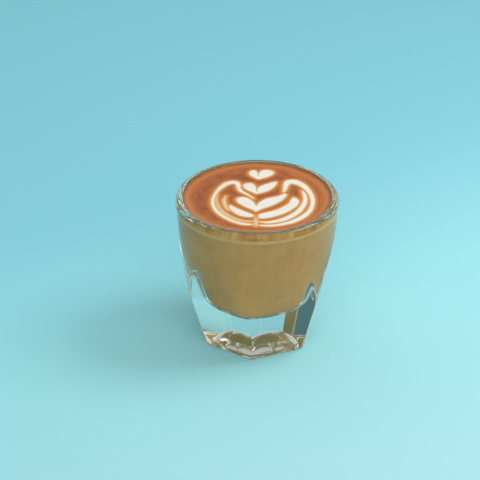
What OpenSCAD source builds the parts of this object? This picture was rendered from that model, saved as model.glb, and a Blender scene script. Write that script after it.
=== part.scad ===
// Pressed glass tumbler with six flat facets, filled with a layered coffee drink
// that carries a poured milk figure. Millimetres, +Z up, the resting plane at Z = 0.

/* [Glass] */
// Height from the resting plane to the top of the lip
glass_h = 73.2; // [70:0.1:80]
// Outside diameter of the lip
rim_d = 76; // [75:0.5:82]
// Thickness of the rounded lip
lip_t = 4.6; // [3.4:0.1:5]
// How far the lip stands out from the wall below it
lip_step = 0.2; // [0.1:0.01:0.8]
// Height over which the wall flares out to the lip
flare_h = 4.1; // [2:0.1:6]
// Lean of the upper wall from upright, in degrees
upper_lean = 4; // [3:0.1:5]
// Lean of the lower wall from upright, in degrees
lower_lean = 9; // [8:0.1:10.5]
// Height where the upper wall and the lower wall meet
shoulder_z = 36.5; // [32:0.5:42]
// Reach of the soft bend between the two walls, each way along them
shoulder_soft = 5.2; // [2:0.1:8]

/* [Facets] */
// Number of flat facets round the lower body
facet_n = 6; // [6:1:8]
// Distance across opposite facets at the resting plane
foot_af = 45.2; // [42:0.2:48]
// Lean of each facet from upright, in degrees
facet_lean = 14.4; // [13:0.1:16]
// Bevel round the foot
foot_bevel = 0.8; // [0.2:0.1:1.5]

/* [Hollow and base] */
// Thickness of the base at its middle, from the resting plane to the floor of the hollow
floor_z = 21.3; // [18:0.1:25]
// Diameter where the wall of the hollow would meet its floor
floor_d = 36.6; // [34:0.2:40]
// Radius between the floor of the hollow and its wall
floor_fillet = 8.5; // [4:0.1:9.5]
// Diameter of the domed recess under the base
recess_d = 31.6; // [24:0.2:34]
// Depth of the domed recess
recess_h = 9.3; // [3:0.1:12]

/* [Drink] */
// Gap between the drink and the glass
drink_gap = 0.06; // [0.02:0.01:0.2]
// From the top of the lip down to the surface of the drink
freeboard = 1.1; // [1:0.1:4]
// Rise of the surface where it meets the glass
edge_rise = 0.8; // [0.2:0.1:0.9]
// Width of that rising edge
edge_w = 3; // [1:0.1:5]
// Thickness of the crema
crema_t = 4; // [1.4:0.1:5]
// Thickness of the pale foam layer under the crema
foam_line_t = 1.5; // [0.4:0.1:3]

/* [Milk figure] */
// Depth of the milk in the crema
figure_depth = 0.9; // [0.3:0.1:1.1]
// Clear ring of crema between the figure and the glass, before the figure is shifted
figure_margin = 2.2; // [2:0.1:8]
// Turn of the figure about the middle of the glass, in degrees
figure_turn = 6; // [-180:0.5:180]
// Length of the figure along its middle line, as a multiple of its drawn length
figure_ratio = 1.04; // [0.9:0.01:1.1]
// Shift of the figure over the surface, away from its near side
figure_shift = -2.8; // [-4:0.1:1]
// Straight steps between two points of an outline
curve_steps = 4; // [3:1:5]

/* [Hidden] */
$fn = 96;
cut = 1;

rim_r = rim_d / 2;
lip_r = lip_t / 2;
lip_z = glass_h - lip_r;
lip_x = rim_r - lip_r;
flare_z = lip_z - flare_h;

// Round outside wall
upper_k = tan(upper_lean);
lower_k = tan(lower_lean);
shoulder_r = rim_r - lip_step - upper_k * (lip_z - shoulder_z);
soft_dz = shoulder_soft * cos(upper_lean);
function upper_r(z) = shoulder_r + upper_k * (z - shoulder_z);
function lower_r(z) = shoulder_r - lower_k * (shoulder_z - z);
function mid(a, b, t) = a + (b - a) * t;
soft_low = [lower_r(shoulder_z - soft_dz), shoulder_z - soft_dz];
soft_mid = [shoulder_r, shoulder_z];
soft_high = [upper_r(shoulder_z + soft_dz), shoulder_z + soft_dz];
shoulder = [
    for (i = [0:6]) mid(mid(soft_low, soft_mid, i / 6), mid(soft_mid, soft_high, i / 6), i / 6)
];

// Facets: distance from the axis at the resting plane, and the corner that faces the front
foot_a = foot_af / 2;
facet_turn = 360 / facet_n;

// Hollow: a straight wall that runs from the floor to the lip and just touches it
floor_r = floor_d / 2;
lip_dx = lip_x - floor_r;
lip_dz = lip_z - floor_z;
hollow_lean = atan2(lip_dx, lip_dz) - asin(lip_r / norm([lip_dx, lip_dz]));
hollow_k = tan(hollow_lean);
fillet_x = floor_r - floor_fillet * tan(45 - hollow_lean / 2);
fillet_z = floor_z + floor_fillet;
function hollow_r(z, gap) = floor_r + hollow_k * (z - floor_z) - gap / cos(hollow_lean);
function on_wall(x, z, r) = [x + r * cos(hollow_lean), z - r * sin(hollow_lean)];
lip_touch = [lip_x - lip_r * cos(hollow_lean), lip_z + lip_r * sin(hollow_lean)];
recess_r = recess_d / 2;
recess_ball = (recess_r * recess_r + recess_h * recess_h) / (2 * recess_h);

// Drink levels, from the surface down
surface_z = glass_h - freeboard;
crema_z = surface_z - crema_t;
foam_z = crema_z - foam_line_t;
edge_z = surface_z + edge_rise;
edge_r = hollow_r(edge_z, drink_gap);
edge = [for (i = [0:6]) [edge_r - edge_w * i / 6, surface_z + edge_rise * pow(1 - i / 6, 2)]];

// Outlines of the milk figure, across and away from the near side. A heart or leaf is two curves from
// corner to corner. A band is a middle line, and the third value of each point is half its width there.
heart_top_left = [
    [0.6, 20.3], [-1.6, 22.0], [-3.5, 24.6], [-3.8, 27.2], [-2.4, 29.1], [-0.8, 29.0], [0.1, 27.0], [0.5, 24.2]
];
heart_top_right = [
    [0.5, 24.2], [1.0, 27.2], [2.4, 29.2], [4.6, 29.7], [7.0, 28.7], [7.9, 26.7], [6.6, 24.2], [3.8, 22.0],
    [0.6, 20.3]
];
heart_upper_left = [
    [-0.5, 6.3], [-2.6, 8.2], [-5.2, 10.6], [-6.6, 13.4], [-6.2, 15.6], [-4.5, 16.8], [-2.4, 16.6],
    [-0.9, 14.2], [-0.4, 11.5], [-0.3, 8.8]
];
heart_upper_right = [
    [-0.3, 8.8], [0.2, 11.8], [1.6, 13.9], [3.6, 15.5], [6.2, 17.1], [8.4, 18.2], [9.2, 17.6], [8.8, 15.3],
    [7.3, 12.1], [5.0, 9.3], [2.2, 7.5], [-0.5, 6.3]
];
heart_main_left = [
    [-0.6, -10.2], [-2.4, -8.4], [-4.8, -6.4], [-7.3, -4.0], [-9.2, -1.3], [-9.8, 1.2], [-8.5, 3.1],
    [-6.5, 3.6], [-4.5, 2.7], [-2.8, 0.8], [-1.4, -1.8], [-0.4, -4.8]
];
heart_main_right = [
    [-0.4, -4.8], [0.4, -2.4], [1.5, -0.8], [2.7, 0.7], [4.8, 2.4], [7.6, 3.6], [10.2, 4.9], [12.2, 6.6],
    [13.4, 6.6], [13.6, 5.0], [12.4, 2.1], [10.5, -0.8], [8.0, -3.4], [5.2, -5.7], [2.4, -7.5], [-0.6, -10.2]
];
leaf_left_upper = [
    [-12.5, -3.6], [-10.0, -6.2], [-7.0, -8.9], [-4.3, -10.9], [-1.9, -12.9]
];
leaf_left_lower = [
    [-1.9, -12.9], [-1.6, -14.2], [-2.5, -15.1], [-4.8, -15.1], [-7.5, -14.2], [-10.0, -12.0], [-12.0, -9.0],
    [-13.0, -6.3], [-12.5, -3.6]
];
leaf_right_outer = [
    [16.6, 3.5], [18.4, 2.0], [19.3, -1.0], [18.1, -5.0], [15.6, -8.5], [12.6, -11.5], [9.4, -13.8],
    [6.0, -15.6], [3.0, -16.5], [0.9, -16.4]
];
leaf_right_inner = [
    [0.9, -16.4], [0.4, -14.6], [0.9, -12.5], [4.0, -10.8], [7.5, -9.0], [10.5, -6.8], [13.0, -4.1],
    [14.4, -2.2], [15.3, 0.6], [16.6, 3.5]
];
fold_left_line = [
    [-14.4, 4.8, 0.25], [-15.2, 1.5, 0.7], [-15.2, -1.5, 0.85], [-14.7, -4.5, 0.8], [-13.9, -7.3, 0.55],
    [-12.8, -9.8, 0.25]
];
crescent_left_line = [
    [-18.3, 6.4, 0.15], [-18.7, 3.0, 0.35], [-18.8, 0.0, 0.5], [-17.9, -5.0, 0.6], [-15.6, -10.5, 0.65],
    [-12.0, -15.0, 0.65], [-8.0, -18.0, 0.65], [-4.8, -19.1, 0.6], [-1.9, -18.9, 0.3]
];
crescent_right_line = [
    [0.6, -19.4, 0.4], [3.9, -20.0, 0.85], [7.6, -19.3, 1.2], [11.4, -17.6, 1.45], [15.0, -14.7, 1.5],
    [18.2, -10.8, 1.4], [20.6, -5.9, 1.3], [21.9, -1.0, 1.1], [22.1, 3.0, 1.0], [21.5, 7.0, 0.8],
    [20.6, 10.0, 0.2]
];
wing_left_line = [
    [-1.5, 1.6, 0.2], [-2.3, 3.1, 0.45], [-3.7, 4.9, 0.6], [-5.4, 6.8, 0.75], [-7.4, 9.0, 0.9],
    [-8.6, 12.0, 1.0], [-8.8, 15.0, 1.2], [-10.0, 17.2, 1.5], [-12.0, 17.4, 1.5], [-14.7, 15.6, 1.4],
    [-17.1, 12.0, 1.15], [-18.8, 8.2, 0.85], [-20.2, 3.0, 0.8], [-20.5, -2.0, 0.85], [-19.6, -7.0, 0.9],
    [-17.4, -11.8, 1.0], [-14.5, -15.7, 1.05], [-10.9, -19.0, 1.0], [-7.2, -21.1, 1.0], [-4.5, -21.8, 0.9],
    [-1.8, -21.8, 0.5]
];
wing_right_line = [
    [12.0, 7.6, 0.25], [12.8, 11.0, 1.0], [13.3, 14.8, 1.3], [14.5, 17.6, 1.9], [16.7, 18.2, 2.0],
    [18.9, 17.0, 1.9], [20.9, 15.0, 1.6], [23.1, 11.0, 1.3], [24.8, 6.0, 1.15], [25.5, 0.5, 1.05],
    [25.2, -4.5, 1.05], [23.9, -9.4, 1.15], [21.6, -13.6, 1.35], [18.7, -17.0, 1.4], [15.3, -19.7, 1.3],
    [12.0, -21.3, 1.1], [7.9, -22.7, 0.95], [4.0, -23.0, 0.85], [0.6, -22.7, 0.5]
];
stem_line = [
    [-0.6, -13.4, 0.2], [-0.6, -15.0, 0.5], [-0.6, -17.5, 0.6], [-0.6, -20.3, 0.6], [-0.6, -22.6, 0.5],
    [-0.6, -24.0, 0.2]
];

// A smooth curve through a list of points
function bend(a, b, c, d, t) =
    (2 * b + (c - a) * t + (2 * a - 5 * b + 4 * c - d) * t * t + (3 * b - a - 3 * c + d) * t * t * t) / 2;
function last(p) = len(p) - 1;
function past(p, i) =
    i < 0 ? 2 * p[0] - p[1] : i > last(p) ? 2 * p[last(p)] - p[last(p) - 1] : p[i];
function curve(p) = [
    for (i = [0:last(p) - 1], j = [0:curve_steps - 1])
        bend(past(p, i - 1), p[i], p[i + 1], past(p, i + 2), j / curve_steps)
];

// Outlines made of such curves: two that share their ends, or both sides of a middle line
function closed(a, b) = concat(curve(a), curve(b));
function along(c, i) =
    let (v = c[min(i + 1, last(c))] - c[max(i - 1, 0)], n = norm([v[0], v[1]])) [v[0] / n, v[1] / n];
function side(c, s) = [
    for (i = [0:last(c)]) let (h = along(c, i)) [c[i][0] - s * h[1] * c[i][2], c[i][1] + s * h[0] * c[i][2]]
];
function back(p) = [for (i = [last(p):-1:0]) p[i]];
function band(p) = let (c = concat(curve(p), [p[last(p)]])) concat(side(c, 1), back(side(c, -1)));

heart_top_shape = closed(heart_top_left, heart_top_right);
heart_upper_shape = closed(heart_upper_left, heart_upper_right);
heart_main_shape = closed(heart_main_left, heart_main_right);
leaf_left_shape = closed(leaf_left_upper, leaf_left_lower);
leaf_right_shape = closed(leaf_right_outer, leaf_right_inner);
fold_left_shape = band(fold_left_line);
crescent_left_shape = band(crescent_left_line);
crescent_right_shape = band(crescent_right_line);
wing_left_shape = band(wing_left_line);
wing_right_shape = band(wing_right_line);
stem_shape = band(stem_line);
figure = [
    heart_top_shape, heart_upper_shape, heart_main_shape, leaf_left_shape, leaf_right_shape, fold_left_shape,
    crescent_left_shape, crescent_right_shape, wing_left_shape, wing_right_shape, stem_shape
];

// The figure's size follows from the surface it floats on
function stretched(shape) = [for (p = shape) [p[0], figure_ratio * p[1]]];
figure_reach = max([for (shape = figure, p = stretched(shape)) norm(p)]);
figure_k = (hollow_r(surface_z, drink_gap) - figure_margin) / figure_reach;
function placed(shape) = [for (p = stretched(shape)) figure_k * p + [0, figure_shift]];

// Half section of the glass, before the facets are cut
module glass_section() {
    difference() {
        union() {
            polygon(concat(
                [[0, 0], [lower_r(0), 0]],
                shoulder,
                [[upper_r(flare_z), flare_z], [rim_r, lip_z], [lip_x, lip_z], lip_touch],
                [on_wall(fillet_x, fillet_z, floor_fillet), [fillet_x, floor_z], [0, floor_z]]
            ));
            translate([lip_x, lip_z])
                circle(lip_r);
        }
        translate([fillet_x, fillet_z])
            circle(floor_fillet);
        translate([0, recess_h - recess_ball])
            circle(recess_ball);
    }
}

// Everything outside one leaning plane that starts at distance a from the axis
module outside_plane(a, lean) {
    translate([a, 0, 0])
        rotate([0, lean, 0])
            translate([0, -rim_d, -rim_d])
                cube([rim_d, 2 * rim_d, 3 * rim_d]);
}

// The milk of one outline, from the bottom of its pocket up by h
module milk(shape, h) {
    rotate([0, 0, figure_turn])
        translate([0, 0, surface_z - figure_depth])
            linear_extrude(height = h)
                polygon(placed(shape));
}

module glass_tumbler() {
    color([0.86, 0.95, 0.95, 0.35])
        difference() {
            rotate_extrude()
                glass_section();
            for (i = [0:facet_n - 1])
                rotate([0, 0, facet_turn * (i + 0.5) - 90]) {
                    outside_plane(foot_a, facet_lean);
                    outside_plane(foot_a - foot_bevel, 45);
                }
        }
}

module coffee_milk() {
    color([0.55, 0.40, 0.21])
        rotate_extrude()
            union() {
                polygon([
                    [0, floor_z + drink_gap],
                    [fillet_x, floor_z + drink_gap],
                    [fillet_x, fillet_z],
                    on_wall(fillet_x, fillet_z, floor_fillet - drink_gap),
                    [hollow_r(foam_z, drink_gap), foam_z],
                    [0, foam_z]
                ]);
                translate([fillet_x, fillet_z])
                    circle(floor_fillet - drink_gap);
            }
}

module foam_line() {
    color([0.83, 0.66, 0.45])
        rotate_extrude()
            polygon([
                [0, foam_z],
                [hollow_r(foam_z, drink_gap), foam_z],
                [hollow_r(crema_z, drink_gap), crema_z],
                [0, crema_z]
            ]);
}

module crema() {
    color([0.72, 0.38, 0.16])
        difference() {
            rotate_extrude()
                polygon(concat(
                    [[0, crema_z], [hollow_r(crema_z, drink_gap), crema_z]],
                    edge,
                    [[0, surface_z]]
                ));
            for (shape = figure)
                milk(shape, figure_depth + cut);
        }
}

module heart_top() {
    color([0.97, 0.96, 0.94])
        milk(heart_top_shape, figure_depth);
}

module heart_upper() {
    color([0.97, 0.96, 0.94])
        milk(heart_upper_shape, figure_depth);
}

module heart_main() {
    color([0.97, 0.96, 0.94])
        milk(heart_main_shape, figure_depth);
}

module leaf_left() {
    color([0.97, 0.96, 0.94])
        milk(leaf_left_shape, figure_depth);
}

module leaf_right() {
    color([0.97, 0.96, 0.94])
        milk(leaf_right_shape, figure_depth);
}

module fold_left() {
    color([0.92, 0.78, 0.60])
        milk(fold_left_shape, figure_depth);
}

module crescent_left() {
    color([0.94, 0.84, 0.70])
        milk(crescent_left_shape, figure_depth);
}

module crescent_right() {
    color([0.96, 0.93, 0.88])
        milk(crescent_right_shape, figure_depth);
}

module wing_left() {
    color([0.95, 0.90, 0.82])
        milk(wing_left_shape, figure_depth);
}

module wing_right() {
    color([0.96, 0.93, 0.88])
        milk(wing_right_shape, figure_depth);
}

module stem() {
    color([0.90, 0.74, 0.53])
        milk(stem_shape, figure_depth);
}

glass_tumbler();
coffee_milk();
foam_line();
crema();
heart_top();
heart_upper();
heart_main();
leaf_left();
leaf_right();
fold_left();
crescent_left();
crescent_right();
wing_left();
wing_right();
stem();
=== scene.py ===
# The looks of a faceted coffee glass and its drink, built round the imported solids.
# Sizes are millimetres in the part's own frame; meshes are written in metres.
import math

import bmesh
import bpy
import numpy as np
from mathutils import Color, Matrix, Vector
from mathutils.geometry import delaunay_2d_cdt


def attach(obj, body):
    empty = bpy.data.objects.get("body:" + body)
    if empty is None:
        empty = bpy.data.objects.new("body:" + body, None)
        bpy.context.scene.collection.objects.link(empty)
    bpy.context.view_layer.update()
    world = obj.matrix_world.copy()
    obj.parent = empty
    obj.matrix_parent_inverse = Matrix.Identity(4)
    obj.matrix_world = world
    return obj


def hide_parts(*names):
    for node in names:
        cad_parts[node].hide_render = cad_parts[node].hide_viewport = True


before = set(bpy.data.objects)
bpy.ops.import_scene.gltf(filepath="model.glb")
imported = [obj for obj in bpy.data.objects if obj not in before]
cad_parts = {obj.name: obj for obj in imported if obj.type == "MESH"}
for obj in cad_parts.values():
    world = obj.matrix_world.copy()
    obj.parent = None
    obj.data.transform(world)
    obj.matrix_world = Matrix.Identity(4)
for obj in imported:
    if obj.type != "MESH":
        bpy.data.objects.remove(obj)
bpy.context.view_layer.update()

MM = 0.001

# Outside of the glass: a round lip, a flare, a round wall with a shoulder, and facets down to the foot
GLASS_H = 73.2
RIM_R = 38.0
LIP_R = 2.3
LIP_STEP = 0.2
FLARE_H = 4.1
UPPER_SLOPE = math.tan(math.radians(4))
LOWER_SLOPE = math.tan(math.radians(9))
SHOULDER_Z = 36.5
FACETS = 6
FACET_SLOPE = math.tan(math.radians(14.4))
FOOT_APOTHEM = 22.6
FOOT_ROUND = 0.9

# Widths over which the shoulder, two facets, and a facet and the round wall blend into each other
SHOULDER_SOFT = 0.6
FACET_SOFT = 0.8
ARCH_SOFT = 0.48

# The hollow, with a fillet round its floor, and the domed recess under the base
FLOOR_Z = 21.3
FLOOR_R = 18.3
FLOOR_FILLET = 8.5
RECESS_R = 15.8
RECESS_H = 9.3

# What follows from these: the lip's centre, the lean of the hollow's wall, and the fillet's centre
LIP_X = RIM_R - LIP_R
LIP_Z = GLASS_H - LIP_R
LIP_OUT = LIP_X - FLOOR_R
LIP_UP = LIP_Z - FLOOR_Z
HOLLOW_LEAN = math.atan2(LIP_OUT, LIP_UP) - math.asin(LIP_R / math.hypot(LIP_OUT, LIP_UP))
LIP_TOUCH_Z = LIP_Z + LIP_R * math.sin(HOLLOW_LEAN)
SHOULDER_R = RIM_R - LIP_STEP - UPPER_SLOPE * (LIP_Z - SHOULDER_Z)
FILLET_X = FLOOR_R - FLOOR_FILLET * math.tan(math.pi / 4 - HOLLOW_LEAN / 2)
FILLET_Z = FLOOR_Z + FLOOR_FILLET
RECESS_BALL = (RECESS_R**2 + RECESS_H**2) / (2 * RECESS_H)

# Levels of the drink, and the rise of its surface towards the glass
SURFACE_Z = 72.1
CREMA_Z = 68.1
FOAM_Z = 66.6
EDGE_RISE = 0.8
EDGE_W = 3.0
EDGE_Z = SURFACE_Z + EDGE_RISE

# Depth of the milk shapes, and how they swell inside their outlines
FIGURE_DEPTH = 0.9
SWELL_H = 0.05
SWELL_W = 0.8
POCKET_Z = SURFACE_Z - FIGURE_DEPTH

# How far the drink's meshes reach into the glass, so that no air shows between them
WET = 0.06

# Points round the glass and the drink, and rings on each stretch of their skins
GLASS_SIDES = 504
DRINK_SIDES = 360
FLOOR_RINGS = 6
FILLET_RINGS = 29
HOLLOW_RINGS = 23
LIP_RINGS = 25
FLARE_RINGS = 11
OUTSIDE_RINGS = 149
FOOT_EDGE_RINGS = 7
FOOT_RINGS = 6
RECESS_RINGS = 31
LAYER_RINGS = 5
CREMA_RINGS = 4


def fade(value, start, end):
    """The share of the way from start to end, held between 0 and 1."""
    return np.clip((value - start) / (end - start), 0, 1)


def smooth_min(a, b, width):
    """The lesser of a and b, rounded where one takes over from the other."""
    share = fade(b - a, -width, width)
    return b * (1 - share) + a * share - width * share * (1 - share)


def steps(start, end, count):
    """Values in equal steps, from one step past the start up to the end."""
    return np.linspace(start, end, count + 1)[1:]


def sides(loop):
    """Each entry of a closed loop with the one after it."""
    return zip(loop, [*loop[1:], loop[0]])


def ring(angles, r, z):
    """Points round the axis at one height, with one radius or a radius for each angle."""
    r = np.broadcast_to(r, angles.shape)
    return np.c_[r * np.cos(angles), r * np.sin(angles), np.full(len(angles), z)]


def skin(angles, profile, first_z, last_z):
    """Vertices and faces of a closed skin: a ring for each radius and height, and a tip at each end."""
    rings = np.array([ring(angles, r, z) for r, z in profile])
    verts = np.concatenate([rings.reshape(-1, 3), [(0, 0, first_z), (0, 0, last_z)]])
    first_tip = len(verts) - 2
    last_tip = len(verts) - 1
    at = np.arange(first_tip).reshape(rings.shape[:2])
    on = np.roll(at, -1, axis=1)
    faces = np.stack([at[:-1], on[:-1], on[1:], at[1:]], -1).reshape(-1, 4).tolist()
    faces += [[first_tip, b, a] for a, b in sides(at[0].tolist())]
    faces += [[last_tip, a, b] for a, b in sides(at[-1].tolist())]
    return verts, faces


def signed_volume(mesh):
    """The volume of a closed mesh, below zero when its faces look inwards."""
    work = bmesh.new()
    work.from_mesh(mesh)
    volume = work.calc_volume(signed=True)
    work.free()
    return volume


def place(name, verts, faces, body, node, sharp_angle=40):
    """A finished piece from vertices in millimetres: smooth, with edges sharp past an angle in degrees."""
    mesh = bpy.data.meshes.new(name)
    mesh.from_pydata((np.asarray(verts) * MM).tolist(), [], faces)
    mesh.update()
    if signed_volume(mesh) < 0:
        mesh.flip_normals()
    mesh.shade_smooth()
    if sharp_angle:
        mesh.set_sharp_from_angle(angle=math.radians(sharp_angle))
    obj = bpy.data.objects.new(name, mesh)
    bpy.context.scene.collection.objects.link(obj)
    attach(obj, body)
    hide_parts(node)
    return obj


# The glass. Azimuths crowd a little towards the corners between the facets, where the edges are.
CROWDING = 0.45
turn = np.linspace(-math.pi, math.pi, GLASS_SIDES, endpoint=False)
azimuths = turn - CROWDING * np.sin(FACETS * (turn + math.pi / 2)) / FACETS

# A facet counts only where it faces a direction by more than this cosine, and elsewhere lies out of reach
LEAST_FACING = 0.2
OUT_OF_REACH = 1000.0


def round_r(z):
    """Radius of the round wall, which leans more below the shoulder than above it."""
    upper = SHOULDER_R + UPPER_SLOPE * (z - SHOULDER_Z)
    lower = SHOULDER_R + LOWER_SLOPE * (z - SHOULDER_Z)
    return smooth_min(upper, lower, SHOULDER_SOFT)


def outside_r(z):
    """Radius of the outside at each azimuth: the least of the facets and the round wall, with soft edges."""
    wall_r = np.full(GLASS_SIDES, OUT_OF_REACH)
    for k in range(FACETS):
        facing = np.cos(azimuths - math.tau * k / FACETS)
        plane_r = (FOOT_APOTHEM + FACET_SLOPE * z) / np.maximum(facing, LEAST_FACING)
        facet_r = np.where(facing > LEAST_FACING, plane_r, OUT_OF_REACH)
        wall_r = smooth_min(wall_r, facet_r, FACET_SOFT)
    return smooth_min(wall_r, round_r(z), ARCH_SOFT)


def hollow_profile(grow, top_z):
    """Floor, fillet and wall of the hollow, from the middle out and up, grown into the glass."""
    fillet_r = FLOOR_FILLET + grow
    profile = [(r, FLOOR_Z - grow) for r in steps(0, FILLET_X, FLOOR_RINGS)]
    for t in steps(-math.pi / 2, -HOLLOW_LEAN, FILLET_RINGS):
        profile.append((FILLET_X + fillet_r * math.cos(t), FILLET_Z + fillet_r * math.sin(t)))
    start_r, start_z = profile[-1]
    for z in steps(start_z, top_z, HOLLOW_RINGS):
        profile.append((start_r + (z - start_z) * math.tan(HOLLOW_LEAN), z))
    return profile


def build_glass():
    """One skin from the floor of the hollow over the lip, down the facets and into the recess."""
    profile = hollow_profile(0, LIP_TOUCH_Z)
    for t in steps(math.pi - HOLLOW_LEAN, 0, LIP_RINGS):
        profile.append((LIP_X + LIP_R * math.cos(t), LIP_Z + LIP_R * math.sin(t)))
    for u in steps(0, 1, FLARE_RINGS):
        z = LIP_Z - u * FLARE_H
        ease = u * u * (3 - 2 * u)
        profile.append((RIM_R + (round_r(z) - RIM_R) * ease, z))
    for z in steps(LIP_Z - FLARE_H, FOOT_ROUND, OUTSIDE_RINGS):
        profile.append((outside_r(z), z))
    for t in steps(0, math.pi / 2, FOOT_EDGE_RINGS):
        z = FOOT_ROUND * (1 - math.sin(t))
        profile.append((outside_r(z) - FOOT_ROUND * (1 - math.cos(t)), z))
    foot_r = outside_r(0) - FOOT_ROUND
    for u in steps(0, 1, FOOT_RINGS):
        profile.append((foot_r + (RECESS_R - foot_r) * u, 0.0))
    for r in steps(RECESS_R, 0, RECESS_RINGS)[:-1]:
        profile.append((r, math.sqrt(RECESS_BALL**2 - r**2) - (RECESS_BALL - RECESS_H)))
    verts, faces = skin(azimuths, profile, FLOOR_Z, RECESS_H)
    return place("glass_body", verts, faces, "glass", "glass_tumbler", sharp_angle=0)


# The two lower layers of the drink
around = np.linspace(0, math.tau, DRINK_SIDES, endpoint=False)


def wet_r(z):
    """Radius of the drink's side, which follows the wall of the hollow and then the round of the lip."""
    if z > LIP_TOUCH_Z:
        return LIP_X - math.sqrt((LIP_R - WET) ** 2 - (z - LIP_Z) ** 2)
    return FLOOR_R + math.tan(HOLLOW_LEAN) * (z - FLOOR_Z) + WET / math.cos(HOLLOW_LEAN)


def flat_profile(z):
    """Rings across a level of the drink, from the middle out to the glass."""
    return [(r, z) for r in steps(0, wet_r(z), LAYER_RINGS)]


def build_coffee():
    """The body of the drink, from the floor of the hollow up to the foam."""
    lid = flat_profile(FOAM_Z)[-2::-1]
    verts, faces = skin(around, hollow_profile(WET, FOAM_Z) + lid, FLOOR_Z - WET, FOAM_Z)
    return place("coffee_body", verts, faces, "drink", "coffee_milk")


def build_foam():
    """The thin layer of foam between the coffee and the crema."""
    verts, faces = skin(around, flat_profile(FOAM_Z) + flat_profile(CREMA_Z)[::-1], FOAM_Z, CREMA_Z)
    return place("foam_layer", verts, faces, "drink", "foam_line")


# The milk figure: each outline is read from the top face of its solid and smoothed between its corners
FIGURE = ["heart_top", "heart_upper", "heart_main", "leaf_left", "leaf_right", "fold_left", "crescent_left",
          "crescent_right", "wing_left", "wing_right", "stem"]
CREAM = {"fold_left", "crescent_left", "stem"}
TOP_SLACK = 0.01
OUTLINE_DIGITS = 3
OUTLINE_STEP = 0.3
CORNER_ANGLE = 38


def top_outline(node):
    """The outline of a solid's top face, in order."""
    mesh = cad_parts[node].data
    spots = [tuple(p) for p in np.round(np.array([v.co for v in mesh.vertices]) / MM, OUTLINE_DIGITS)]
    top_z = max(z for _, _, z in spots) - TOP_SLACK
    edges = []
    for poly in mesh.polygons:
        corners = [spots[v] for v in poly.vertices]
        if min(z for _, _, z in corners) > top_z:
            edges += sides(corners)
    turned = {(b, a) for a, b in edges}
    follow = {a: b for a, b in edges if (a, b) not in turned}
    loop = [next(iter(follow))]
    while follow[loop[-1]] != loop[0]:
        loop.append(follow[loop[-1]])
    return np.array(loop)[:, :2]


def curve_point(a, b, c, d, t):
    """The point at share t of the smooth curve from b to c, where a comes before them and d after."""
    square = (2 * a - 5 * b + 4 * c - d) * t**2
    cube = (3 * b - a - 3 * c + d) * t**3
    return (2 * b + (c - a) * t + square + cube) / 2


def smooth_outline(p):
    """A smooth closed curve through the points p, left sharp where it turns by more than CORNER_ANGLE."""
    before = p - np.roll(p, 1, 0)
    after = np.roll(p, -1, 0) - p
    across = before[:, 0] * after[:, 1] - before[:, 1] * after[:, 0]
    sharp = np.degrees(np.abs(np.arctan2(across, (before * after).sum(1)))) > CORNER_ANGLE
    count = len(p)
    curve = []
    for i in range(count):
        b = p[i]
        c = p[(i + 1) % count]
        a = 2 * b - c if sharp[i] else p[i - 1]
        d = 2 * c - b if sharp[(i + 1) % count] else p[(i + 2) % count]
        pieces = max(1, round(np.linalg.norm(c - b) / OUTLINE_STEP))
        curve += [curve_point(a, b, c, d, k / pieces) for k in range(pieces)]
    return np.array(curve)


def inside(points, loop):
    """Whether each point lies inside the outline."""
    x, y = points.T
    hit = np.zeros(len(points), bool)
    for (x0, y0), (x1, y1) in sides(loop):
        spans = (y0 > y) != (y1 > y)
        with np.errstate(divide="ignore", invalid="ignore"):
            hit ^= spans & (x < (x1 - x0) * (y - y0) / (y1 - y0) + x0)
    return hit


def distance(points, loop):
    """Distance from each point to the outline."""
    best = np.full(len(points), np.inf)
    for a, b in sides(loop):
        along = b - a
        share = np.clip(((points - a) @ along) / (along @ along), 0, 1)
        best = np.minimum(best, ((points - a - share[:, None] * along) ** 2).sum(1))
    return np.sqrt(best)


outlines = {name: smooth_outline(top_outline(name)) for name in FIGURE}


def milk_distance(points):
    """Distance from each point to the nearest milk outline."""
    return np.min([distance(points, loop) for loop in outlines.values()], axis=0)


# One flat net over the whole surface that follows every outline, so that the milk and the crema meet exactly
EDGE_R = wet_r(EDGE_Z)
PITCH = 0.42
EDGE_CLEAR = 0.25
MILK_CLEAR = 0.17
WELD = 1e-6


def staggered_grid(reach):
    """Points at an even pitch over a square, with every other row shifted by half a pitch."""
    points = []
    for row, y in enumerate(np.arange(-reach, reach, PITCH * math.sqrt(3) / 2)):
        shift = row % 2 * PITCH / 2
        points += [(x + shift, y) for x in np.arange(-reach, reach, PITCH)]
    return np.array(points)


def anticlockwise(loop, points):
    """The loop of point numbers, turned if need be so that it runs anticlockwise seen from above."""
    x, y = points[loop].T
    area = (x * np.roll(y, -1) - y * np.roll(x, -1)).sum()
    return loop if area > 0 else loop[::-1]


def surface_net():
    """Points and anticlockwise triangles of the net, and the points along its edge and each outline."""
    grid = staggered_grid(EDGE_R)
    grid = grid[np.hypot(*grid.T) < EDGE_R - EDGE_CLEAR]
    grid = grid[milk_distance(grid) > MILK_CLEAR]
    points = []
    numbers = {}
    for name, loop in [("edge", ring(around, EDGE_R, 0)[:, :2]), *outlines.items()]:
        numbers[name] = range(len(points), len(points) + len(loop))
        points += loop.tolist()
    lines = [line for loop in numbers.values() for line in sides(loop)]
    points += grid.tolist()
    found, _, triangles, origin, _, _ = delaunay_2d_cdt([Vector(p) for p in points], lines, [], 0, WELD)
    found = np.array([tuple(p) for p in found])
    new_number = {old: new for new, olds in enumerate(origin) for old in olds}
    loops = {}
    for name, loop in numbers.items():
        loops[name] = anticlockwise(np.array([new_number[i] for i in loop]), found)
    return found, np.array([anticlockwise(np.array(t), found) for t in triangles]), loops


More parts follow.
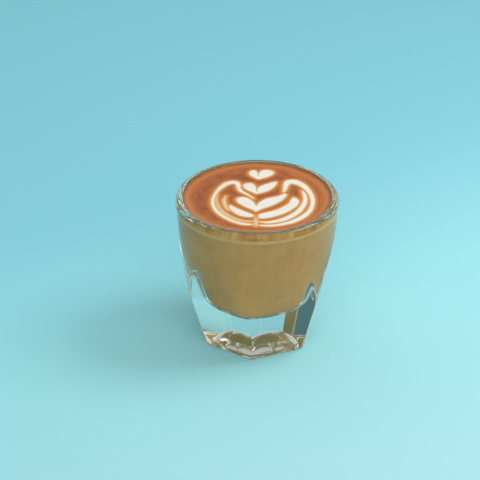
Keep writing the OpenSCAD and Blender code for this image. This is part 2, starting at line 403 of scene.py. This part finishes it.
net, triangles, loops = surface_net()
middles = net[triangles].mean(1)
under = {name: inside(middles, loop) for name, loop in outlines.items()}
patches = {name: triangles[hit] for name, hit in under.items()}
bare = triangles[~np.any(list(under.values()), axis=0)]


def wall(upper, lower):
    """Faces between two loops of vertex numbers, looking outwards where the loops run anticlockwise."""
    return [[a, c, d, b] for (a, b), (c, d) in zip(sides(upper.tolist()), sides(lower.tolist()))]


def attribute(obj, name, values):
    """Stores a value at each vertex for the materials to read."""
    data = obj.data.attributes.new(name, "FLOAT", "POINT").data
    data.foreach_set("value", np.asarray(values, np.float32))


# The trail of the last pull of the jug: where it comes in and dies away, in shares of the stem, and its reach
TRAIL_IN = (0.1, 0.5)
TRAIL_OUT = (1.05, 0.8)
TRAIL_REACH = 1.3


def trail(points):
    """How much milk the last pull left at each point on and beside the stem, from 0 to 1."""
    loop = outlines["stem"]
    far_y = loop[:, 1].max()
    near_y = loop[:, 1].min()
    along = (far_y - points[:, 1]) / (far_y - near_y)
    away = np.where(inside(points, loop), 0, distance(points, loop))
    return fade(along, *TRAIL_IN) * fade(along, *TRAIL_OUT) * fade(away, TRAIL_REACH, 0) ** 2


def build_milk(name):
    """One milk shape: its patch of the net, a little swollen, a flat underside and a wall between them."""
    patch = patches[name]
    ids = np.unique(patch)
    count = len(ids)
    inset = distance(net[ids], outlines[name])
    upper = np.c_[net[ids], SURFACE_Z + SWELL_H * np.sqrt(fade(inset, 0, SWELL_W))]
    lower = np.c_[net[ids], np.full(count, POCKET_Z)]
    top = np.searchsorted(ids, patch)
    rim = np.searchsorted(ids, loops[name])
    faces = top.tolist() + (top[:, ::-1] + count).tolist() + wall(rim, rim + count)
    piece = place("milk_" + name, np.concatenate([upper, lower]), faces, "drink", name)
    attribute(piece, "inset", np.concatenate([inset, np.zeros(count)]))
    if name == "stem":
        attribute(piece, "pull", np.tile(trail(net[ids]), 2))
    return piece


# A distance past the end of every colour ramp, and the place of the crema's wall among its materials
FAR = 9.0
WALL_MATERIAL = 1


def build_crema():
    """The bare part of the net, a pocket under each milk shape, a wall against the glass and an underside."""
    verts = []
    faces = []
    inset = []
    rim = []

    def add(xyz, from_milk, from_edge):
        """Adds vertices with their distances from the milk and from the edge, and returns their numbers."""
        first = len(verts)
        verts.extend(xyz.tolist())
        inset.extend(np.broadcast_to(from_milk, len(xyz)).tolist())
        rim.extend(np.broadcast_to(from_edge, len(xyz)).tolist())
        return np.arange(first, len(verts))

    ids = np.unique(bare)
    from_edge = np.maximum(EDGE_R - np.hypot(*net[ids].T), 0)
    level = SURFACE_Z + EDGE_RISE * fade(from_edge, EDGE_W, 0) ** 2
    surface = add(np.c_[net[ids], level], milk_distance(net[ids]), from_edge)
    faces += surface[np.searchsorted(ids, bare)].tolist()
    for name, patch in patches.items():
        below = np.unique(patch)
        pocket = add(np.c_[net[below], np.full(len(below), POCKET_Z)], 0.0, FAR)
        faces += pocket[np.searchsorted(below, patch)].tolist()
        upper = surface[np.searchsorted(ids, loops[name])]
        lower = pocket[np.searchsorted(below, loops[name])]
        faces += wall(upper[::-1], lower[::-1])
    wall_start = len(faces)
    upper = surface[np.searchsorted(ids, loops["edge"])]
    for z in steps(EDGE_Z, CREMA_Z, CREMA_RINGS):
        lower = add(ring(around, wet_r(z), z), FAR, 0.0)
        faces += wall(upper, lower)
        upper = lower
    wall_end = len(faces)
    centre = add(np.array([(0, 0, CREMA_Z)]), FAR, FAR)[0]
    faces += [[b, a, centre] for a, b in sides(lower.tolist())]
    piece = place("crema_top", verts, faces, "drink", "crema")
    for poly in piece.data.polygons[wall_start:wall_end]:
        poly.material_index = WALL_MATERIAL
    attribute(piece, "inset", inset)
    attribute(piece, "rim", rim)
    attribute(piece, "pull", trail(np.array(verts)[:, :2]))
    return piece


# Materials
GLASS_IOR = 1.51
WATER_IOR = 1.34

# Distances that the colours run over: inside the milk's edge, in the crema beside it, and in from the glass
MILK_EDGE_W = 1.4
GOLD_W = 3.2
SHORE_W = 8.0

# The Mix node's sockets for colours, which share their names with those for numbers
MIX_FACTOR = 0
MIX_COLOUR_A = 6
MIX_COLOUR_B = 7
MIX_COLOUR_RESULT = 2


def linear(text):
    """The scene's own colour for six hexadecimal digits of sRGB."""
    shares = [channel / 255 for channel in bytes.fromhex(text)]
    return [*Color(shares).from_srgb_to_scene_linear(), 1.0]


class Nodes:
    """The nodes of a material or a world, with short ways to add and join them."""

    def __init__(self, owner, main):
        owner.use_nodes = True
        self.owner = owner
        self.tree = owner.node_tree
        self.main = self.tree.nodes[main]

    def set(self, socket, value):
        if isinstance(value, bpy.types.NodeSocket):
            self.tree.links.new(value, socket)
        else:
            socket.default_value = value

    def shade(self, **sockets):
        """Sets sockets of the main shader, with an underscore for each space in a name."""
        for name, value in sockets.items():
            self.set(self.main.inputs[name.replace("_", " ")], value)

    def node(self, kind, sockets=None, **settings):
        new = self.tree.nodes.new("ShaderNode" + kind)
        for name, value in settings.items():
            setattr(new, name, value)
        for key, value in (sockets or {}).items():
            self.set(new.inputs[key], value)
        return new

    def calc(self, operation, a, b):
        return self.node("Math", {0: a, 1: b}, operation=operation).outputs[0]

    def fade(self, value, start, end, at_start=0.0, at_end=1.0):
        """Runs from at_start to at_end as the value runs from start to end, and holds beyond them."""
        sockets = {"Value": value, "From Min": start, "From Max": end, "To Min": at_start, "To Max": at_end}
        return self.node("MapRange", sockets).outputs["Result"]

    def vector(self, x, y):
        return self.node("CombineXYZ", {0: x, 1: y}).outputs[0]

    def dot(self, vector, towards):
        return self.node("VectorMath", {0: vector, 1: towards}, operation="DOT_PRODUCT").outputs["Value"]

    def read(self, name):
        return self.node("Attribute", attribute_name=name).outputs["Fac"]

    def where(self):
        return self.node("TexCoord").outputs["Object"]

    def noise(self, scale, detail=3.0, roughness=0.5, distortion=0.0, at=None):
        sockets = {"Scale": scale, "Detail": detail, "Roughness": roughness, "Distortion": distortion}
        sockets["Vector"] = self.where() if at is None else at
        return self.node("TexNoise", sockets).outputs["Fac"]

    def cells(self, scale):
        return self.node("TexVoronoi", {"Vector": self.where(), "Scale": scale}).outputs["Distance"]

    def ragged(self, value, scale, reach):
        """The value made uneven by noise, by up to half of reach either way."""
        shift = self.calc("MULTIPLY", self.calc("SUBTRACT", self.noise(scale), 0.5), reach)
        return self.calc("ADD", value, shift)

    def streaks(self, scale, reach):
        """Noise drawn out round the axis: fine across the radius, long along the circle."""
        x, y, _ = self.node("SeparateXYZ", {0: self.where()}).outputs
        radius = self.node("VectorMath", {0: self.vector(x, y)}, operation="LENGTH").outputs["Value"]
        angle = self.calc("MULTIPLY", self.calc("ARCTAN2", y, x), reach)
        return self.noise(scale, roughness=0.6, at=self.vector(radius, angle))

    def drips(self, scale, reach, squeeze):
        """Noise drawn out along the axis: fine round the glass, long up and down it."""
        x, y, z = self.node("SeparateXYZ", {0: self.where()}).outputs
        angle = self.calc("MULTIPLY", self.calc("ARCTAN2", y, x), reach)
        return self.noise(scale, detail=1.5, at=self.vector(angle, self.calc("MULTIPLY", z, squeeze)))

    def ramp(self, factor, stops):
        """A colour that runs through stops, each a place from 0 to 1 and a colour."""
        new = self.node("ValToRGB", {"Fac": factor})
        elements = new.color_ramp.elements
        while len(elements) < len(stops):
            elements.new(0.5)
        for element, (at, colour) in zip(elements, stops):
            element.position = at
            element.color = linear(colour)
        return new.outputs["Color"]

    def blend(self, factor, a, b, kind="MIX"):
        sockets = {MIX_FACTOR: factor, MIX_COLOUR_A: a, MIX_COLOUR_B: b}
        return self.node("Mix", sockets, data_type="RGBA", blend_type=kind).outputs[MIX_COLOUR_RESULT]

    def bump(self, height, strength, depth):
        """A normal from a height, with its depth in millimetres."""
        sockets = {"Height": height, "Strength": strength, "Distance": depth * MM}
        return self.node("Bump", sockets).outputs["Normal"]


def new_material(name):
    return Nodes(bpy.data.materials.new(name), "Principled BSDF")


def clear_glass():
    """Clear glass with a faint tint and the soft waves of pressing."""
    s = new_material("clear_glass")
    tint = s.ramp(s.noise(30, detail=1.0), [(0.3, "f6f8f5"), (0.7, "f8faf8")])
    waves = s.bump(s.noise(55, detail=2.0), strength=0.25, depth=0.06)
    s.shade(Base_Color=tint, Transmission_Weight=1.0, Roughness=0.0, IOR=GLASS_IOR, Normal=waves)
    return s.owner


def against_glass(name, colour):
    """A drink layer seen through the glass: past the critical angle between glass and water it mirrors.
    Below the lip its colour is painted brighter and warmer than the drink's own, standing in for light that
    the glass holds back; lifted above the lip it stands in air and is multiplied darker, back to the drink's
    own colour."""
    s = new_material(name)
    height = s.node("SeparateXYZ", {0: s.node("NewGeometry").outputs["Position"]}).outputs["Z"]
    lifted = s.calc("GREATER_THAN", height, GLASS_H * MM)
    # Painted light: below the lip the colour is painted brighter and warmer than the drink's own; above the
    # lip it is multiplied back down
    body = s.blend(lifted, colour(s), linear("bdc5e7"), "MULTIPLY")
    s.shade(Base_Color=body, Roughness=0.7, Specular_IOR_Level=0.0)
    mirror = s.node("BsdfAnisotropic", {"Roughness": 0.02}).outputs[0]
    index = s.fade(lifted, 0.0, 1.0, at_start=WATER_IOR / GLASS_IOR, at_end=WATER_IOR)
    share = s.node("Fresnel", {"IOR": index}).outputs[0]
    both = s.node("MixShader", {0: share, 1: s.main.outputs[0], 2: mirror}).outputs[0]
    s.set(s.tree.nodes["Material Output"].inputs["Surface"], both)
    return s.owner


# These drink colours are painted brighter and warmer than the drink's own, standing in for light that the
# glass holds back
def coffee_colour(s):
    clouds = s.ramp(s.noise(70, detail=4.0, roughness=0.6, distortion=0.4),
                    [(0.3, "e7a351"), (0.5, "f3b461"), (0.7, "f9c070")])
    milky = s.ramp(s.drips(330, reach=0.03, squeeze=0.22), [(0.3, "eaaa59"), (0.7, "fbca7e")])
    grain = s.calc("MULTIPLY", s.noise(900, detail=2.0), 0.2)
    return s.blend(grain, s.blend(0.25, clouds, milky), linear("dda350"))


def foam_colour(s):
    return s.ramp(s.noise(400, roughness=0.6), [(0.3, "fcc676"), (0.7, "ffd68e")])


def crema_wall_colour(s):
    return s.ramp(s.noise(170, detail=4.0, roughness=0.65),
                  [(0.32, "d8822f"), (0.5, "f0ac50"), (0.68, "ffd288")])


def crema_surface():
    """Brown clouds and swirls, paler towards the glass, gold beside the milk and hazy beside the stem."""
    s = new_material("crema_surface")
    clouds = s.ramp(s.noise(85, detail=5.0, roughness=0.62, distortion=0.8),
                    [(0.28, "7c3b20"), (0.45, "984b25"), (0.57, "b25c27"), (0.74, "ca7432")])
    swirl = s.ramp(s.streaks(620, reach=0.005), [(0.32, "883f20"), (0.5, "a95a29"), (0.68, "cd7a36")])
    grain = s.ramp(s.noise(1500, detail=2.0), [(0.35, "995430"), (0.65, "c07a44")])
    brown = s.blend(0.15, s.blend(0.5, clouds, swirl), grain)
    rim = s.ragged(s.read("rim"), scale=140, reach=1.6)
    shore = s.ramp(s.calc("DIVIDE", rim, SHORE_W),
                   [(0.0, "96643a"), (0.14, "a8683a"), (0.28, "d28648"), (0.8, "bc7046")])
    brown = s.blend(s.fade(rim, 1.6, 7.0, at_start=0.85, at_end=0.0), brown, shore)
    edge = s.ragged(s.read("inset"), scale=900, reach=0.5)
    gold = s.ramp(s.calc("DIVIDE", edge, GOLD_W),
                  [(0.0, "ecc48c"), (0.1, "dd9a52"), (0.24, "d0843e"), (0.46, "c67838"), (0.8, "a85a2a")])
    brown = s.blend(s.fade(edge, 1.1, 2.8, at_start=1.0, at_end=0.0), brown, gold)
    haze = s.calc("MULTIPLY", s.read("pull"), 0.75)
    sheen = s.fade(s.read("rim"), 0.4, 3.2, at_start=0.06, at_end=0.34)
    bubbles = s.bump(s.cells(1900), strength=0.12, depth=0.12)
    s.shade(Base_Color=s.blend(haze, brown, linear("e2bd8c")), Roughness=sheen, IOR=WATER_IOR, Normal=bubbles)
    return s.owner


def milk_surface(name, stops, pulled=False):
    """Milk foam whose colour runs in from its outline, and follows the trail of the last pull if asked."""
    s = new_material(name)
    edge = s.ragged(s.read("inset"), scale=1100, reach=0.35)
    body = s.ramp(s.calc("DIVIDE", edge, MILK_EDGE_W), stops)
    if pulled:
        body = s.blend(s.read("pull"), body, linear("ecd2aa"))
    tint = s.ramp(s.noise(240), [(0.35, "f8f5f1"), (0.65, "ffffff")])
    bubbles = s.bump(s.cells(3200), strength=0.08, depth=0.08)
    s.shade(Base_Color=s.blend(0.6, body, tint, "MULTIPLY"), Roughness=0.42, IOR=WATER_IOR, Normal=bubbles)
    return s.owner


def dress(obj, *materials):
    for material in materials:
        obj.data.materials.append(material)


# The pieces and what they are dressed in
dress(build_glass(), clear_glass())
dress(build_coffee(), against_glass("coffee", coffee_colour))
dress(build_foam(), against_glass("pale_foam", foam_colour))
white_milk = milk_surface(
    "milk_white", [(0.0, "dca868"), (0.12, "eed6b0"), (0.3, "f4f1ec"), (0.6, "f5f6f7")])
cream_milk = milk_surface(
    "milk_cream", [(0.0, "dcab72"), (0.15, "e5c294"), (0.35, "eed6b4"), (0.8, "f2dfc4")])
stem_milk = milk_surface("milk_trail", [(0.0, "d18c48"), (0.4, "d6984f")], pulled=True)
milk_of = dict.fromkeys(FIGURE, white_milk) | dict.fromkeys(CREAM, cream_milk) | {"stem": stem_milk}
for name in FIGURE:
    dress(build_milk(name), milk_of[name])
dress(build_crema(), crema_surface(), against_glass("crema_wall", crema_wall_colour))

# The stage lies a hair below the foot, so that the base keeps air under it. Its width is in metres.
STAGE_DROP = 0.15
STAGE_W = 8

# Painted light: the stage is painted paler this way, as if more light fell on it from the front right, over
# this distance in metres to either side of the glass
PAINTED_LIGHT_WAY = (0.55, -0.83, 0.0)
PAINTED_LIGHT_REACH = 0.14


def build_stage():
    """A pale floor, painted paler towards the front right as if more light fell there."""
    bpy.ops.mesh.primitive_plane_add(size=STAGE_W, location=(0, 0, -STAGE_DROP * MM))
    floor = bpy.context.object
    floor.name = "floor"
    s = new_material("floor_paint")
    # Painted light: the floor's colour grows paler towards the front right
    painted_light = s.fade(s.dot(s.where(), PAINTED_LIGHT_WAY), -PAINTED_LIGHT_REACH, PAINTED_LIGHT_REACH)
    paint = s.ramp(painted_light, [(0.0, "93e1fa"), (0.42, "a4edff"), (1.0, "b2ecff")])
    s.shade(Base_Color=paint, Roughness=0.9, Specular_IOR_Level=0.0)
    dress(floor, s.owner)


# The light. Places and sizes are metres, and powers are watts.
SKY_STRENGTH = 1.37
LAMP_AIM = Vector((0, 0, 0.04))
WARM = (1.0, 0.94, 0.86)
WHITE = (1.0, 1.0, 1.0)


def lobe(s, towards, stops):
    """A colour by how far a direction turns from a given one: each stop is a cosine and a colour."""
    cosine = s.dot(s.node("TexCoord").outputs["Generated"], Vector(towards).normalized())
    return s.ramp(s.fade(cosine, -1.0, 1.0), [((at + 1) / 2, colour) for at, colour in stops])


def build_sky():
    """Soft light all round, strongest from the front, with a dark flag low at the front left that the facets
    mirror, a fainter one at the front right, and a cooler top."""
    world = bpy.data.worlds.new("studio")
    bpy.context.scene.world = world
    s = Nodes(world, "Background")
    light = lobe(s, (0.2, -0.8, 0.45), [(-0.9, "b8b9b6"), (0.0, "c6c5c0"), (0.6, "f7ecdc"), (0.95, "fff0d8")])
    left_flag = lobe(s, (-0.75, -0.43, 0.43), [(0.72, "ffffff"), (0.93, "447284")])
    right_flag = lobe(s, (0.8, -0.5, 0.52), [(0.78, "ffffff"), (0.97, "a4b2b6")])
    cool_top = lobe(s, (0, 0, 1), [(0.0, "fff3e2"), (0.45, "ecebe8"), (1.0, "c6d0d6")])
    for dimmer in (left_flag, right_flag, cool_top):
        light = s.blend(1.0, light, dimmer, "MULTIPLY")
    s.shade(Color=light, Strength=SKY_STRENGTH)


def build_lamp(name, at, size, power, colour):
    light = bpy.data.lights.new(name, "AREA")
    light.shape = "DISK"
    light.size = size
    light.energy = power
    light.color = colour
    obj = bpy.data.objects.new(name, light)
    obj.location = at
    obj.rotation_euler = (LAMP_AIM - Vector(at)).to_track_quat("-Z", "Y").to_euler()
    bpy.context.scene.collection.objects.link(obj)


# The photograph's view: from the front, a little to the right and well above, through a long lens.
# The part's origin lies at a pixel of it, counted from the top left. The view's end is in metres.
AZIMUTH = math.radians(6.2)
ELEVATION = math.radians(28.8)
VIEW_DISTANCE = 1500.0
PHOTO_PIXELS = 480
PIXELS_PER_MM = 2.108
ORIGIN_X = 256.87
ORIGIN_Y = 332.1
SENSOR_W = 36
VIEW_END = 20

# Light turns back many times inside the thick lip, which the default number of bounces leaves dark
LIP_BOUNCES = 22
MIRROR_BOUNCES = 16


def build_camera():
    """A camera whose picture shows the part at the photograph's place and scale."""
    level = math.cos(ELEVATION)
    back = Vector((math.sin(AZIMUTH) * level, -math.cos(AZIMUTH) * level, math.sin(ELEVATION)))
    right = Vector((math.cos(AZIMUTH), math.sin(AZIMUTH), 0))
    above = back.cross(right)
    middle = PHOTO_PIXELS / 2
    aim = (right * (middle - ORIGIN_X) + above * (ORIGIN_Y - middle)) / PIXELS_PER_MM
    position = Matrix.Translation((aim + back * VIEW_DISTANCE) * MM)
    camera = bpy.data.objects.new("camera", bpy.data.cameras.new("camera"))
    camera.matrix_world = position @ Matrix((right, above, back)).transposed().to_4x4()
    camera.data.sensor_width = SENSOR_W
    camera.data.lens = SENSOR_W * VIEW_DISTANCE * PIXELS_PER_MM / PHOTO_PIXELS
    camera.data.clip_end = VIEW_END
    bpy.context.scene.collection.objects.link(camera)
    bpy.context.scene.camera = camera


build_stage()
build_sky()
build_lamp("key", at=(0.34, 0.06, 0.5), size=0.3, power=1.2, colour=WARM)
build_lamp("fill", at=(0.25, -0.8, 0.55), size=1.2, power=2.6, colour=WHITE)
build_camera()
bpy.context.scene.view_settings.view_transform = "Standard"
bpy.context.scene.cycles.max_bounces = LIP_BOUNCES
bpy.context.scene.cycles.transmission_bounces = LIP_BOUNCES
bpy.context.scene.cycles.glossy_bounces = MIRROR_BOUNCES
